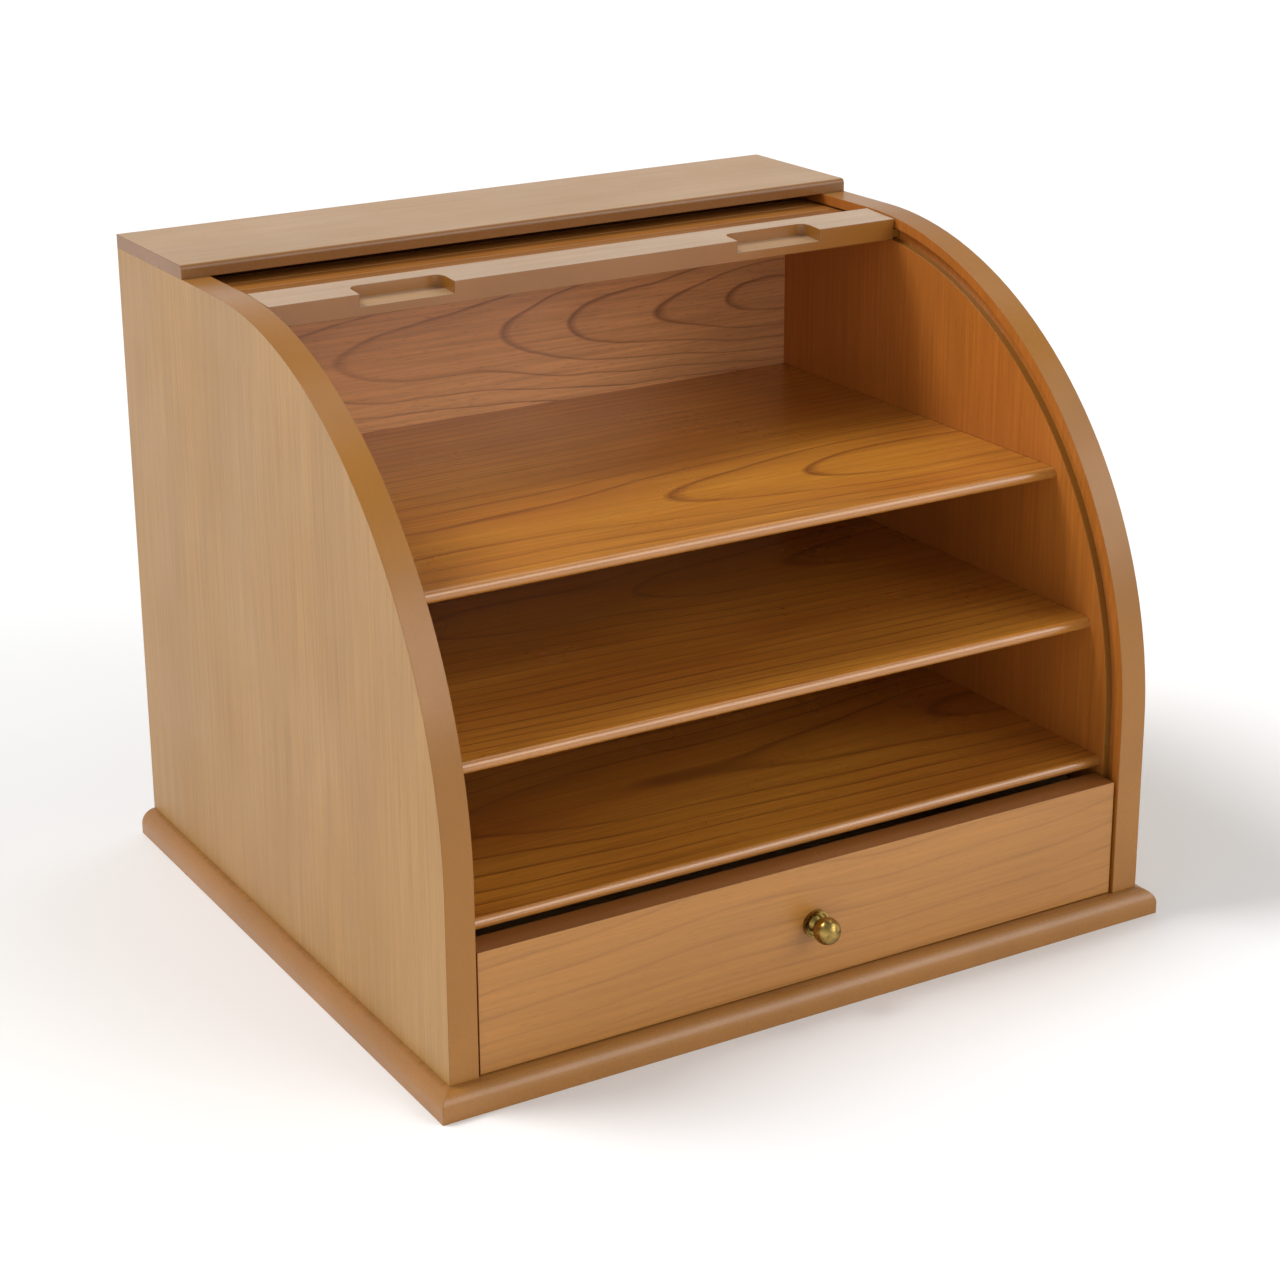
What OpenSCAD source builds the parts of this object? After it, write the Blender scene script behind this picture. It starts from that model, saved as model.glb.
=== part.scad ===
// Roll-top box: carcass with quarter-round sides, tambour curtain, three shelves and a drawer.
// Units are millimetres, +Z is up, +X is the width, the front faces -Y.
// The origin is the middle of the base board's underside.

/* [Carcass] */
// Width over the two side panels
body_w = 400; // [320:5:500]
// Depth of a side panel, front edge to rear edge
body_d = 360; // [295:5:440]
// Height of a side panel, above the base board
side_h = 320; // [260:5:400]
// Thickness of a side panel
side_t = 15; // [12:0.5:20]
// Radius of the quarter-round at the upper front of a side panel
curve_r = 228; // [185:1:280]
// Thickness of the base board
base_t = 13.5; // [11:0.5:20]
// How far the base board stands out past the sides and the front
base_over = 8; // [4:0.5:14]
// Radius of the round-over on the base board's upper edge
base_round = 8; // [3:0.5:10]
// Thickness of the top board
top_t = 7; // [6:0.5:12]
// Depth of the top board, from the rear edge forwards
top_d = 89; // [70:1:110]
// Radius of the top board's rounded upper front edge
top_round = 2.5; // [1:0.5:4]
// Thickness of the back panel
back_t = 4.5; // [3:0.5:6]
// Width of the rebate that holds the back panel in each side
rebate_w = 8; // [6:0.5:10]
// Thickness of the inner back, which hides the stored curtain
inner_back_t = 5; // [4:0.5:8]
// Free depth between the inner back and the back panel
store_d = 43.5; // [41:0.5:60]
// Height of the inner back
inner_back_h = 300; // [230:5:304]
// Depth of the housings that hold shelves and inner back
housing_d = 3; // [2:0.5:5]
// Clearance of a panel in its housing, on each side
housing_gap = 0.05; // [0.02:0.01:0.2]

/* [Roll top] */
// Distance from the panel's edge to the track's outer wall
track_lip = 5.5; // [4:0.5:8]
// Width of the routed track
track_w = 7; // [7:0.5:9]
// Depth of the routed track in a side panel
track_deep = 4; // [3:0.5:6]
// Radius of the track's centre line at the upper rear corner
corner_r = 38; // [36:1:50]
// Distance from the rear track's outer wall to the back panel
track_rear_gap = 10; // [7:0.5:20]
// Thickness of a slat
slat_t = 6; // [5:0.25:6.5]
// Thickness of the tongues at the ends of the slats and the rail
tongue_t = 4.4; // [3.5:0.1:4.8]
// How far a tongue stops short of the track's floor
tongue_gap = 0.4; // [0.2:0.1:1]
// Open joint between two slats
slat_gap = 0.4; // [0.3:0.1:0.8]
// Chamfer along a slat's outer edges
slat_chamfer = 0.4; // [0.2:0.1:0.8]
// Gap between the end of a slat and the side panel
slat_end_gap = 0.5; // [0.3:0.1:1.5]
// Width of the lead rail, front edge to rear edge
rail_w = 25; // [20:1:32]
// Thickness of the lead rail
rail_t = 11.3; // [9:0.1:11.5]
// Gap between the end of the lead rail and the side panel
rail_end_gap = 1; // [0.5:0.1:2]
// Angle of the lead rail's middle before the top of the curve, curtain open
open_tilt = 3.6; // [3.4:0.1:8]
// Gap between the drawer's top edge and the lead rail, curtain shut
shut_gap = 3.8; // [1:0.1:6]
// Length of curtain that stays under the top board when it is shut
shut_cover = 14; // [8:1:20]
// Length of a finger notch
notch_l = 52; // [40:1:70]
// Distance from the middle of the rail to the middle of a notch
notch_x = 109.5; // [60:0.5:130]
// How far a notch reaches in from the rail's front edge
notch_in = 14.5; // [10:0.5:18]
// Depth of a notch below the rail's outer face
notch_deep = 6.5; // [4:0.5:8]
// Radius of a notch's inner corners
notch_r = 5; // [2:0.5:8]
// Thickness of the canvas glued to the slats
canvas_t = 0.7; // [0.5:0.1:1.2]
// Distance from the side panel to the canvas edge
canvas_edge = 6; // [3:0.5:12]
// Glue line between canvas and slats
glue_gap = 0.05; // [0.02:0.01:0.1]

/* [Shelves] */
// Thickness of a shelf
shelf_t = 6; // [5:0.5:9]
// Clear height of the drawer's bay
drawer_bay_h = 65; // [50:1:80]
// Clear height between two shelves
bay_h = 65.5; // [45:0.5:75]
// Distance of the upper shelves' fronts behind the track
shelf_back = 9; // [2:0.5:30]
// Distance of the lowest shelf's front behind the track
low_shelf_back = 2.5; // [2:0.5:20]
// Length of a shelf's end, from its front, that has no tongue
shelf_shoulder = 12; // [8:1:30]

/* [Drawer] */
// Thickness of the drawer front
front_t = 15; // [12:0.5:20]
// How far the drawer front sits behind the side panels' front edges
front_set = 1.5; // [0:0.5:6]
// Gap at each end of the drawer front
front_side_gap = 1.5; // [0.8:0.1:3]
// Gap above the drawer front
front_top_gap = 3; // [1:0.5:5]
// Gap under the drawer
drawer_lift = 0.5; // [0.3:0.1:1.5]
// Gap between a drawer side and the side panel
drawer_side_gap = 2; // [1:0.5:4]
// Thickness of the drawer's sides and back
drawer_t = 9; // [7:0.5:12]
// Height of the drawer's sides
drawer_side_h = 51.5; // [35:0.5:52]
// Height of the drawer's back
drawer_back_h = 59.5; // [40:0.5:61]
// Thickness of the drawer's bottom
bottom_t = 4; // [3:0.5:6]
// Height of the drawer bottom's underside above the drawer's lower edge
bottom_up = 6; // [4:0.5:10]
// Depth of the grooves that hold the drawer's bottom
bottom_in = 4; // [2.5:0.5:6]
// Gap between the drawer's back and the inner back
drawer_rear_gap = 0.3; // [0.3:0.1:3]
// How far the drawer pulls out before its stops
drawer_travel = 200; // [100:5:220]
// Length of a drawer stop block, across the width
stop_l = 20; // [12:1:40]
// Depth of a drawer stop block, front to rear
stop_w = 12; // [8:1:20]
// Height of a drawer stop block
stop_h = 8; // [7:0.5:12]
// Distance from the middle to the middle of a stop block
stop_x = 90; // [40:1:130]
// Gap between stop block and drawer back, drawer pulled out
stop_gap = 0.3; // [0.1:0.1:1]

/* [Knob] */
// Diameter of the knob's ball
ball_d = 13.5; // [11:0.5:22]
// Distance of the ball's centre from the drawer front's face
ball_out = 10; // [9:0.5:20]
// Diameter of the knob's neck
neck_d = 5.6; // [5.2:0.2:9]
// Diameter of the knob's foot
foot_d = 8.6; // [7:0.2:11]
// Height of the knob's foot cone
foot_h = 1.8; // [1:0.2:3]
// Diameter of the rose behind the knob
rose_d = 14; // [12:0.5:24]
// Thickness of the rose's disc
rose_t = 1; // [0.8:0.1:2]
// Height of the rose's rim above its disc
rim_h = 0.9; // [0.4:0.1:2]
// Width of the rose's rim
rim_w = 1.2; // [0.8:0.1:2]
// Height of the knob's centre above the drawer front's lower edge
knob_z = 29.5; // [15:0.5:45]
// Diameter of the knob's screw
knob_screw_d = 4; // [3:0.5:4.5]
// How far the screw reaches into the knob
knob_screw_in = 8; // [5:0.5:9]
// Diameter of the knob screw's head
knob_head_d = 8; // [6:0.5:10]
// Height of the knob screw's head
knob_head_h = 2.4; // [1.5:0.1:3]

/* [Fixings] */
// Diameter of the screws that hold the base board
screw_d = 4; // [3:0.5:5]
// Length of those screws
screw_l = 34; // [25:1:50]
// Diameter of their countersunk heads
screw_head_d = 8; // [6:0.5:10]
// Height of the countersunk heads
screw_head_h = 2.6; // [2:0.1:3.5]
// How deep the heads sit under the base board's face
screw_sink = 0.6; // [0.3:0.1:1.5]
// Distance of the end screws from the ends of a side panel
screw_end = 40; // [25:1:80]
// Clearance of a screw in its bore, all round
screw_gap = 0.05; // [0.02:0.01:0.1]
// Diameter of the back panel's pins
pin_d = 1.4; // [1:0.1:2]
// Length of the back panel's pins
pin_l = 13; // [9:0.5:14]
// Diameter of a pin's head
pin_head_d = 3; // [2:0.2:4]
// Height of a pin's head
pin_head_h = 0.6; // [0.4:0.1:1]
// Distance of a pin from the back panel's edge
pin_edge = 2.5; // [2:0.5:4]
// Number of pins along each edge of the back panel
pin_count = 5; // [3:1:9]
// Distance of the end pins from the top and bottom of the back panel
pin_end = 30; // [15:1:60]

/* [Hidden] */
$fn = 96;
large_arc_faces = 360;
small_round_faces = 48;
eps = 0.01;
// how far a cut runs out past the face that it opens
cut_over = 1;
// how far bores run past the tips of screws and pins
bore_past = 2;
pin_past = 0.5;
knob_bore_past = 0.5;
// how far the front track runs down behind the drawer front's top edge
track_below = 3;
// how far tongues sit inside the edges of a slat and of the lead rail
slat_tongue_in = 0.5;
rail_tongue_in = 1;
// how much wider the wall inside the rose's rim is at its top
rim_flare = 0.5;
// angle between two points of the canvas round the rear corner
canvas_step = 10;
base_w = body_w + 2 * base_over;
base_d = body_d + base_over;
// front edge plane, rear edge plane and top face of the carcass
y_front = -base_d / 2 + base_over;
y_rear = base_d / 2;
z_base = base_t;
z_side = z_base + side_h;
// inner faces of the side panels
inner_x = body_w / 2 - side_t;
inner_w = 2 * inner_x;
// centre of the quarter-round, which is the roll top's hinge line
arc_y = y_front + curve_r;
arc_z = z_side - curve_r;
// track: centre line, walls and the canvas line under the slats
track_off = track_lip + track_w / 2;
arc_mid_r = curve_r - track_off;
arc_out_r = curve_r - track_lip;
arc_in_r = curve_r - track_lip - track_w;
lane_mid_z = z_side - track_off;
arc_canvas_r = arc_mid_r - slat_t / 2;
lane_z = lane_mid_z - slat_t / 2;
corner_canvas_r = corner_r - slat_t / 2;
store_y = y_rear - back_t - track_rear_gap - track_w / 2;
corner_y = store_y - corner_r;
corner_z = lane_mid_z - corner_r;
// inner back, between shelves and stored curtain
inner_back_y1 = y_rear - back_t - store_d;
inner_back_y0 = inner_back_y1 - inner_back_t;
// top board
top_y0 = y_rear - top_d;
// the drawer's bay and the shelves' upper faces
low_top_z = z_base + drawer_bay_h + shelf_t;
mid_top_z = low_top_z + bay_h + shelf_t;
top_top_z = mid_top_z + bay_h + shelf_t;
function track_in_y(z) =
    z < arc_z ? y_front + track_lip + track_w
    : arc_y - sqrt(pow(arc_in_r, 2) - pow(z - arc_z, 2));
low_front_y = track_in_y(low_top_z) + low_shelf_back;
mid_front_y = track_in_y(mid_top_z) + shelf_back;
top_front_y = track_in_y(top_top_z) + shelf_back;
// drawer
front_y0 = y_front + front_set;
front_y1 = front_y0 + front_t;
front_z0 = z_base + drawer_lift;
front_z1 = z_base + drawer_bay_h - front_top_gap;
front_w = inner_w - 2 * front_side_gap;
box_x = inner_x - drawer_side_gap;
back_y1 = inner_back_y0 - drawer_rear_gap;
back_y0 = back_y1 - drawer_t;
bottom_z0 = front_z0 + bottom_up;
stop_y1 = back_y0 - drawer_travel - stop_gap;
knob_h = front_z0 + knob_z;
// curtain: length, pitch and the distances where the stored path changes
slat_count = 26;
lead_shut_z = front_z1 + shut_gap;
curtain_l = arc_canvas_r * PI / 2 + arc_z - lead_shut_z + top_y0 - arc_y + shut_cover;
pitch = (curtain_l - rail_w) / slat_count;
slat_w = pitch - slat_gap;
s_top = rail_w / 2 + arc_canvas_r * open_tilt * PI / 180;
s_corner = s_top + corner_y - arc_y;
s_down = s_corner + corner_canvas_r * PI / 2;
tail_z = corner_z - (curtain_l - s_down);
slat_l = inner_w - 2 * slat_end_gap;
rail_l = inner_w - 2 * rail_end_gap;
tongue_span = inner_w + 2 * (track_deep - tongue_gap);
tongue_u = (slat_t - tongue_t) / 2;
tongue_w = slat_w - 2 * slat_tongue_in;
track_foot = front_z1 - track_below;
// fixings
screw_x = body_w / 2 - side_t / 2;
screw_ys = [y_front + screw_end, (y_front + y_rear) / 2, y_rear - screw_end];
pin_x = inner_x + rebate_w - pin_edge;
pin_step = (side_h - 2 * pin_end) / (pin_count - 1);

// ---- shared shapes ----

// Extrudes an outline drawn in (Y, Z) along X, centred on x = 0.
module along_x(length) {
    rotate([90, 0, 90]) linear_extrude(length, center = true) children();
}

// A box from its two corners.
module box(p, q) {
    translate(p) cube([q[0] - p[0], q[1] - p[1], q[2] - p[2]]);
}

// What a round-over takes off a board's upper left corner, drawn from the height where it begins.
module round_over(radius) {
    difference() {
        translate([-cut_over, 0]) square([radius + cut_over, radius + cut_over]);
        translate([radius, 0]) circle(radius);
    }
}

// A side panel's outline: a rectangle whose upper front is a quarter-round.
module side_outline() {
    translate([arc_y, z_base]) square([y_rear - arc_y, side_h]);
    translate([y_front, z_base]) square([body_d, side_h - curve_r]);
    intersection() {
        translate([arc_y, arc_z]) circle(curve_r, $fn = large_arc_faces);
        translate([y_front, arc_z]) square([curve_r, curve_r]);
    }
}

// A quarter ring round (cy, cz), towards the front (side = -1) or the rear (side = 1).
module quarter_ring(cy, cz, r_in, r_out, side) {
    intersection() {
        difference() {
            translate([cy, cz]) circle(r_out, $fn = large_arc_faces);
            translate([cy, cz]) circle(r_in, $fn = large_arc_faces);
        }
        translate([side < 0 ? cy - r_out : cy, cz]) square([r_out, r_out]);
    }
}

// The track's outline: up the front, round the curve, back along the top and down the rear.
module track_outline() {
    translate([y_front + track_lip, track_foot]) square([track_w, arc_z - track_foot]);
    quarter_ring(arc_y, arc_z, arc_in_r, arc_out_r, -1);
    translate([arc_y, lane_mid_z - track_w / 2]) square([corner_y - arc_y, track_w]);
    quarter_ring(corner_y, corner_z, corner_r - track_w / 2, corner_r + track_w / 2, 1);
    translate([store_y - track_w / 2, z_base - cut_over])
        square([track_w, corner_z - z_base + cut_over]);
}

// The cuts that both side panels have, on the side at x = dir * inner_x.
module side_cuts(dir) {
    translate([dir * inner_x, 0, 0]) along_x(2 * track_deep) track_outline();
    for (f = [[low_front_y, low_top_z], [mid_front_y, mid_top_z], [top_front_y, top_top_z]])
        translate([dir * inner_x, 0, 0])
            box([-housing_d, f[0] + shelf_shoulder - housing_gap, f[1] - shelf_t - housing_gap],
                [housing_d, inner_back_y0 + eps, f[1] + housing_gap]);
    translate([dir * inner_x, 0, 0])
        box([-housing_d, inner_back_y0 - housing_gap, z_base - cut_over],
            [housing_d, inner_back_y1 + housing_gap, z_base + inner_back_h + housing_gap]);
    translate([dir * inner_x, 0, 0])
        box([-rebate_w, y_rear - back_t, z_base - cut_over],
            [rebate_w, y_rear + cut_over, z_side + cut_over]);
    for (y = screw_ys)
        translate([dir * screw_x, y, z_base - cut_over])
            cylinder(h = cut_over + screw_l - base_t + screw_sink + bore_past, r = screw_d / 2 + screw_gap);
    at_pins(dir)
        cylinder(h = pin_l + pin_past, r = pin_d / 2 + screw_gap, $fn = small_round_faces);
}

// Carries its children, drawn along +Z, to each pin hole on one side; +Z then runs into the board.
module at_pins(dir) {
    for (i = [0:pin_count - 1])
        translate([dir * pin_x, y_rear, z_base + pin_end + i * pin_step]) rotate([90, 0, 0]) children();
}

module side_panel(dir) {
    difference() {
        translate([dir * (inner_x + side_t / 2), 0, 0]) along_x(side_t) side_outline();
        side_cuts(dir);
    }
}

// A shelf with a half-round front; its ends have tongues behind the shoulder.
module shelf(front_y, top_z) {
    translate([0, 0, top_z - shelf_t]) {
        box([-inner_x, front_y + shelf_t / 2, 0], [inner_x, inner_back_y0, shelf_t]);
        translate([-inner_x, front_y + shelf_t / 2, shelf_t / 2])
            rotate([0, 90, 0]) cylinder(h = inner_w, r = shelf_t / 2, $fn = small_round_faces);
        box([-inner_x - housing_d + housing_gap, front_y + shelf_shoulder, 0],
            [inner_x + housing_d - housing_gap, inner_back_y0, shelf_t]);
    }
}

// Carries its children to a distance along the stored curtain, counted from the lead edge.
module at_track(s) {
    if (s < s_corner)
        translate([0, arc_y + s - s_top, lane_z]) children();
    else if (s < s_down)
        translate([0, corner_y, corner_z])
            rotate([-(s - s_corner) / corner_canvas_r * 180 / PI, 0, 0])
                translate([0, 0, corner_canvas_r]) children();
    else
        translate([0, corner_y + corner_canvas_r, corner_z - (s - s_down)])
            rotate([-90, 0, 0]) children();
}

// One slat of the curtain, counted from the lead rail.
module slat(n) {
    at_track(rail_w + (n - 0.5) * pitch) {
        along_x(slat_l) polygon([
            [-slat_w / 2, 0], [slat_w / 2, 0],
            [slat_w / 2, slat_t - slat_chamfer], [slat_w / 2 - slat_chamfer, slat_t],
            [-slat_w / 2 + slat_chamfer, slat_t], [-slat_w / 2, slat_t - slat_chamfer]
        ]);
        box([-tongue_span / 2, -tongue_w / 2, tongue_u],
            [tongue_span / 2, tongue_w / 2, tongue_u + tongue_t]);
    }
}

// A drawer side, on the side at x = dir * box_x.
module drawer_side(dir) {
    x_out = dir * box_x;
    x_in = dir * (box_x - drawer_t);
    difference() {
        box([min(x_out, x_in), front_y1, front_z0],
            [max(x_out, x_in), back_y1, front_z0 + drawer_side_h]);
        box([x_in - bottom_in, front_y1 - cut_over, bottom_z0 - housing_gap],
            [x_in + bottom_in, back_y1 + cut_over, bottom_z0 + bottom_t + housing_gap]);
    }
}

// ---- carcass ----

module base_board() {
    color("peru") difference() {
        intersection() {
            along_x(base_w) difference() {
                translate([-base_d / 2, 0]) square([base_d, base_t]);
                translate([-base_d / 2, base_t - base_round]) round_over(base_round);
            }
            translate([0, base_d / 2, 0]) rotate([90, 0, 0]) linear_extrude(base_d) difference() {
                translate([-base_w / 2, 0]) square([base_w, base_t]);
                for (m = [0, 1]) mirror([m, 0])
                    translate([-base_w / 2, base_t - base_round]) round_over(base_round);
            }
        }
        for (dir = [-1, 1], y = screw_ys) translate([dir * screw_x, y, 0]) {
            translate([0, 0, -cut_over]) {
                cylinder(h = base_t + 2 * cut_over, r = screw_d / 2 + screw_gap);
                cylinder(h = screw_sink + cut_over, r = screw_head_d / 2 + screw_gap);
            }
            translate([0, 0, screw_sink])
                cylinder(h = screw_head_h, r1 = screw_head_d / 2 + screw_gap, r2 = screw_d / 2 + screw_gap);
        }
    }
}

module left_side() {
    color("burlywood") side_panel(-1);
}

module right_side() {
    color("burlywood") side_panel(1);
}

module top_board() {
    color("tan") along_x(body_w) difference() {
        translate([top_y0, z_side]) square([top_d, top_t]);
        translate([top_y0, z_side + top_t - top_round]) round_over(top_round);
    }
}

module back_panel() {
    color("sienna") difference() {
        box([-inner_x - rebate_w + housing_gap, y_rear - back_t, z_base],
            [inner_x + rebate_w - housing_gap, y_rear, z_side]);
        for (dir = [-1, 1]) at_pins(dir) translate([0, 0, -cut_over]) {
            cylinder(h = back_t + 2 * cut_over, r = pin_d / 2 + screw_gap, $fn = small_round_faces);
            cylinder(h = cut_over + pin_head_h, r = pin_head_d / 2 + screw_gap, $fn = small_round_faces);
        }
    }
}

module inner_back() {
    color("rosybrown")
        box([-inner_x - housing_d + housing_gap, inner_back_y0, z_base],
            [inner_x + housing_d - housing_gap, inner_back_y1, z_base + inner_back_h]);
}

// ---- shelves ----

module low_shelf() {
    color("goldenrod") shelf(low_front_y, low_top_z);
}

module mid_shelf() {
    color("goldenrod") shelf(mid_front_y, mid_top_z);
}

module top_shelf() {
    color("goldenrod") shelf(top_front_y, top_top_z);
}

// ---- drawer ----

module drawer_front() {
    color("chocolate") difference() {
        box([-front_w / 2, front_y0, front_z0], [front_w / 2, front_y1, front_z1]);
        box([-box_x + drawer_t - bottom_in, front_y1 - bottom_in, bottom_z0 - housing_gap],
            [box_x - drawer_t + bottom_in, front_y1 + cut_over, bottom_z0 + bottom_t + housing_gap]);
        translate([0, front_y1 + cut_over, knob_h])
            rotate([90, 0, 0]) cylinder(h = front_t + 2 * cut_over, r = knob_screw_d / 2 + screw_gap);
    }
}

module drawer_left() {
    color("wheat") drawer_side(-1);
}

module drawer_right() {
    color("wheat") drawer_side(1);
}

module drawer_back() {
    color("wheat") difference() {
        box([-box_x + drawer_t, back_y0, front_z0], [box_x - drawer_t, back_y1, front_z0 + drawer_back_h]);
        box([-box_x, back_y0 - cut_over, bottom_z0 - housing_gap],
            [box_x, back_y0 + bottom_in, bottom_z0 + bottom_t + housing_gap]);
    }
}

module drawer_bottom() {
    color("linen")
        box([-box_x + drawer_t - bottom_in + housing_gap, front_y1 - bottom_in + housing_gap, bottom_z0],
            [box_x - drawer_t + bottom_in - housing_gap, back_y0 + bottom_in - housing_gap,
             bottom_z0 + bottom_t]);
}

// Two blocks glued under the lowest shelf; they catch the drawer's back.
module drawer_stops() {
    color("wheat") for (m = [-1, 1])
        box([m * stop_x - stop_l / 2, stop_y1 - stop_w, low_top_z - shelf_t - stop_h],
            [m * stop_x + stop_l / 2, stop_y1, low_top_z - shelf_t]);
}

// ---- knob ----

// Turns a part drawn along +Z so that it stands out of the drawer front.
module on_front() {
    translate([0, front_y0, knob_h]) rotate([90, 0, 0]) children();
}

module knob() {
    color("darkgoldenrod") on_front() difference() {
        union() {
            translate([0, 0, ball_out]) sphere(ball_d / 2);
            translate([0, 0, rose_t]) cylinder(h = ball_out - rose_t, r = neck_d / 2);
            translate([0, 0, rose_t]) cylinder(h = foot_h, r1 = foot_d / 2, r2 = neck_d / 2);
        }
        translate([0, 0, -cut_over])
            cylinder(h = cut_over + knob_screw_in + knob_bore_past, r = knob_screw_d / 2 + screw_gap);
    }
}

module knob_rose() {
    color("darkgoldenrod") on_front() difference() {
        cylinder(h = rose_t + rim_h, r = rose_d / 2);
        translate([0, 0, rose_t])
            cylinder(h = rim_h + cut_over, r1 = rose_d / 2 - rim_w, r2 = rose_d / 2 - rim_w + rim_flare);
        translate([0, 0, -cut_over])
            cylinder(h = rose_t + 2 * cut_over, r = knob_screw_d / 2 + screw_gap);
    }
}

module knob_screw() {
    color("gray") on_front() {
        translate([0, 0, -front_t]) cylinder(h = front_t + knob_screw_in, r = knob_screw_d / 2);
        translate([0, 0, -front_t - knob_head_h]) cylinder(h = knob_head_h, r = knob_head_d / 2);
    }
}

// ---- roll top ----

// A finger notch, open towards the rail's front edge and its outer face.
module notch_cut() {
    translate([0, -rail_w / 2, rail_t - notch_deep]) {
        box([-notch_l / 2, -cut_over, 0], [notch_l / 2, notch_in - notch_r, notch_deep + cut_over]);
        box([-notch_l / 2 + notch_r, -cut_over, 0], [notch_l / 2 - notch_r, notch_in, notch_deep + cut_over]);
        for (m = [-1, 1]) translate([m * (notch_l / 2 - notch_r), notch_in - notch_r, 0])
            cylinder(h = notch_deep + cut_over, r = notch_r);
    }
}

module lead_rail() {
    color("sandybrown") translate([0, arc_y, arc_z]) rotate([open_tilt, 0, 0])
        translate([0, 0, arc_canvas_r]) difference() {
            union() {
                box([-rail_l / 2, -rail_w / 2, 0], [rail_l / 2, rail_w / 2, rail_t]);
                box([-tongue_span / 2, -rail_w / 2 + rail_tongue_in, tongue_u],
                    [tongue_span / 2, rail_w / 2 - rail_tongue_in, tongue_u + tongue_t]);
            }
            for (m = [-1, 1]) translate([m * notch_x, 0, 0]) notch_cut();
        }
}

module slat_01() {
    color("sandybrown") slat(1);
}

module slat_02() {
    color("sandybrown") slat(2);
}

module slat_03() {
    color("sandybrown") slat(3);
}

module slat_04() {
    color("sandybrown") slat(4);
}

module slat_05() {
    color("sandybrown") slat(5);
}

module slat_06() {
    color("sandybrown") slat(6);
}

module slat_07() {
    color("sandybrown") slat(7);
}

module slat_08() {
    color("sandybrown") slat(8);
}

module slat_09() {
    color("sandybrown") slat(9);
}

module slat_10() {
    color("sandybrown") slat(10);
}

module slat_11() {
    color("sandybrown") slat(11);
}

module slat_12() {
    color("sandybrown") slat(12);
}

module slat_13() {
    color("sandybrown") slat(13);
}

module slat_14() {
    color("sandybrown") slat(14);
}

module slat_15() {
    color("sandybrown") slat(15);
}

module slat_16() {
    color("sandybrown") slat(16);
}

module slat_17() {
    color("sandybrown") slat(17);
}

module slat_18() {
    color("sandybrown") slat(18);
}

module slat_19() {
    color("sandybrown") slat(19);
}

module slat_20() {
    color("sandybrown") slat(20);
}

module slat_21() {
    color("sandybrown") slat(21);
}

module slat_22() {
    color("sandybrown") slat(22);
}

module slat_23() {
    color("sandybrown") slat(23);
}

module slat_24() {
    color("sandybrown") slat(24);
}

module slat_25() {
    color("sandybrown") slat(25);
}

module slat_26() {
    color("sandybrown") slat(26);
}

// Points in (Y, Z) along the stored curtain's inner face, from under the rail to the tail, drawn in by inset.
function canvas_line(inset) = let (
        r = arc_canvas_r - glue_gap - inset,
        c = corner_canvas_r - glue_gap - inset,
        first = s_top - rail_w / 2
    ) concat(
        [[arc_y - first, arc_z + sqrt(pow(r, 2) - pow(first, 2))], [arc_y, arc_z + r]],
        [for (a = [0:canvas_step:90]) [corner_y + c * sin(a), corner_z + c * cos(a)]],
        [[corner_y + c, tail_z]]
    );

// The canvas runs flat from point to point, under the rail and all the slats.
module canvas() {
    outer = canvas_line(0);
    inner = canvas_line(canvas_t);
    color("beige") along_x(inner_w - 2 * canvas_edge)
        polygon(concat(outer, [for (i = [len(inner) - 1:-1:0]) inner[i]]));
}

// ---- fixings ----

module base_screws() {
    color("silver") for (dir = [-1, 1], y = screw_ys) translate([dir * screw_x, y, screw_sink]) {
        cylinder(h = screw_l, r = screw_d / 2);
        cylinder(h = screw_head_h, r1 = screw_head_d / 2, r2 = screw_d / 2);
    }
}

module back_pins() {
    color("silver") for (dir = [-1, 1]) at_pins(dir) {
        cylinder(h = pin_l, r = pin_d / 2, $fn = small_round_faces);
        cylinder(h = pin_head_h, r = pin_head_d / 2, $fn = small_round_faces);
    }
}

base_board();
left_side();
right_side();
top_board();
back_panel();
inner_back();
low_shelf();
mid_shelf();
top_shelf();
drawer_front();
drawer_left();
drawer_right();
drawer_back();
drawer_bottom();
drawer_stops();
knob();
knob_rose();
knob_screw();
lead_rail();
slat_01();
slat_02();
slat_03();
slat_04();
slat_05();
slat_06();
slat_07();
slat_08();
slat_09();
slat_10();
slat_11();
slat_12();
slat_13();
slat_14();
slat_15();
slat_16();
slat_17();
slat_18();
slat_19();
slat_20();
slat_21();
slat_22();
slat_23();
slat_24();
slat_25();
slat_26();
canvas();
base_screws();
back_pins();
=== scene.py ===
"""Roll-top box with three shelves and a drawer, on a pale table under soft studio light.
Lengths are metres in the frame's own axes: +X is the width, the front faces -Y, +Z is up."""
import math

import bpy
import numpy as np
from mathutils import Matrix, Vector


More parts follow.
